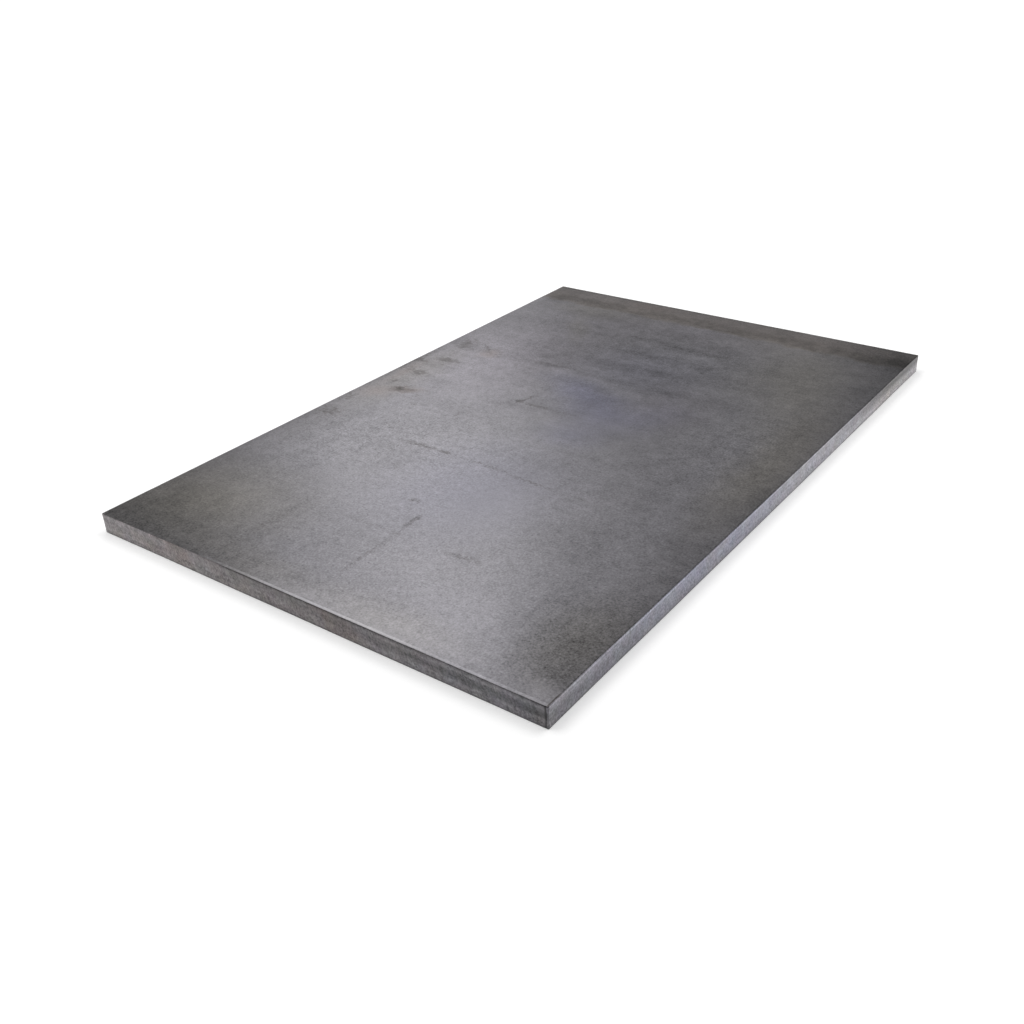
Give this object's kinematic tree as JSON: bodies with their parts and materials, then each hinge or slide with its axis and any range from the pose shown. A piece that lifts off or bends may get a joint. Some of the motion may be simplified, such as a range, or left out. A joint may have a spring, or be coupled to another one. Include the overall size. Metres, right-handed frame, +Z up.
{
  "type": "steel plate",
  "caption": "Flat rectangular plate of hot-rolled steel with torch-cut sides, lying on its face; raw stock for welding, machining or bench tops.",
  "frame": {"origin": "middle of the underside, on the floor that the plate lies on", "axes": "+X across the plate, +Y along its longer side, +Z up through its thickness"},
  "size_m": [0.5, 0.75, 0.02],
  "materials": {
    "mill_scale_steel": "satin"
  },
  "bodies": {
    "root": {"steel_plate": "mill_scale_steel"}
  },
  "joints": []
}
